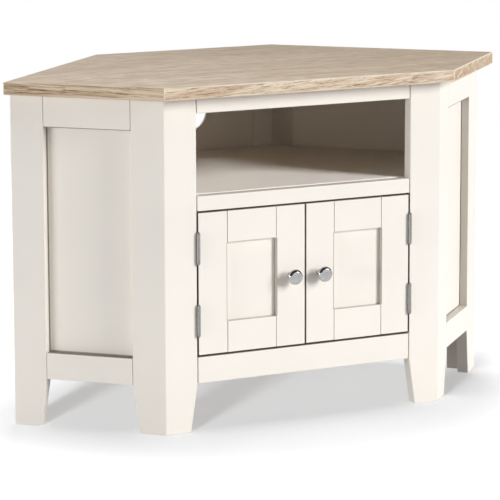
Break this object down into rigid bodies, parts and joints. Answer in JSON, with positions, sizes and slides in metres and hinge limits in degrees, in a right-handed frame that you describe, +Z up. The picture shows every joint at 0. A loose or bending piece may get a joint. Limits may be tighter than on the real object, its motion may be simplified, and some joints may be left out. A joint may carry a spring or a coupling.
{
  "type": "corner tv cabinet",
  "caption": "Corner TV cabinet with an open compartment over a cupboard with framed doors, on tapered legs, in ivory paint with an oak top.",
  "frame": {"origin": "middle of the bounding box, at floor level", "axes": "+X along the width to the right of someone facing the doors, +Y from the doors to the room's corner, +Z up"},
  "size_m": [0.9, 0.472, 0.556],
  "materials": {
    "ivory_paint": "satin ivory paint on wood",
    "oak_top": "limed oak, matt lacquer, visible grain",
    "hinge_steel": "dull brushed steel",
    "knob_chrome": "polished chrome",
    "zinc_steel": "bright zinc plate",
    "catch_plastic": "moulded off-white plastic"
  },
  "bodies": {
    "carcass": {"top_board": "oak_top", "front_left_leg": "ivory_paint", "front_right_leg": "ivory_paint", "right_side_leg": "ivory_paint", "right_back_leg": "ivory_paint", "left_back_leg": "ivory_paint", "left_side_leg": "ivory_paint", "front_top_rail": "ivory_paint", "front_middle_rail": "ivory_paint", "front_bottom_rail": "ivory_paint", "back_top_rail": "ivory_paint", "back_bottom_rail": "ivory_paint", "back_panel": "ivory_paint", "left_side_top_rail": "ivory_paint", "left_side_bottom_rail": "ivory_paint", "left_side_panel": "ivory_paint", "left_wall_top_rail": "ivory_paint", "left_wall_bottom_rail": "ivory_paint", "left_wall_panel": "ivory_paint", "right_side_top_rail": "ivory_paint", "right_side_bottom_rail": "ivory_paint", "right_side_panel": "ivory_paint", "right_wall_top_rail": "ivory_paint", "right_wall_bottom_rail": "ivory_paint", "right_wall_panel": "ivory_paint", "shelf": "ivory_paint", "base_panel": "ivory_paint", "magnetic_catch": "catch_plastic", "left_shelf_bearer": "ivory_paint", "left_base_bearer": "ivory_paint", "right_shelf_bearer": "ivory_paint", "right_base_bearer": "ivory_paint", "left_upper_hinge_frame_leaf": "hinge_steel", "left_upper_hinge_pin": "hinge_steel", "left_lower_hinge_frame_leaf": "hinge_steel", "left_lower_hinge_pin": "hinge_steel", "right_upper_hinge_frame_leaf": "hinge_steel", "right_upper_hinge_pin": "hinge_steel", "right_lower_hinge_frame_leaf": "hinge_steel", "right_lower_hinge_pin": "hinge_steel"},
    "left_door": {"left_door_lock_stile": "ivory_paint", "left_door_hinge_stile": "ivory_paint", "left_door_top_rail": "ivory_paint", "left_door_bottom_rail": "ivory_paint", "left_door_panel": "ivory_paint", "left_knob": "knob_chrome", "left_knob_screw": "zinc_steel", "left_strike_plate": "zinc_steel", "left_upper_hinge_door_leaf": "hinge_steel", "left_lower_hinge_door_leaf": "hinge_steel"},
    "right_door": {"right_door_lock_stile": "ivory_paint", "right_door_hinge_stile": "ivory_paint", "right_door_top_rail": "ivory_paint", "right_door_bottom_rail": "ivory_paint", "right_door_panel": "ivory_paint", "right_knob": "knob_chrome", "right_knob_screw": "zinc_steel", "right_strike_plate": "zinc_steel", "right_upper_hinge_door_leaf": "hinge_steel", "right_lower_hinge_door_leaf": "hinge_steel"}
  },
  "joints": [
    {"name": "left_door_hinge", "type": "hinge", "parent": "carcass", "child": "left_door", "pos_m": [-0.19192, -0.2121, 0.238], "axis": [0, 0, -1], "range_deg": [0, 180]},
    {"name": "right_door_hinge", "type": "hinge", "parent": "carcass", "child": "right_door", "pos_m": [0.19192, -0.2121, 0.238], "axis": [0, 0, 1], "range_deg": [0, 180]}
  ]
}
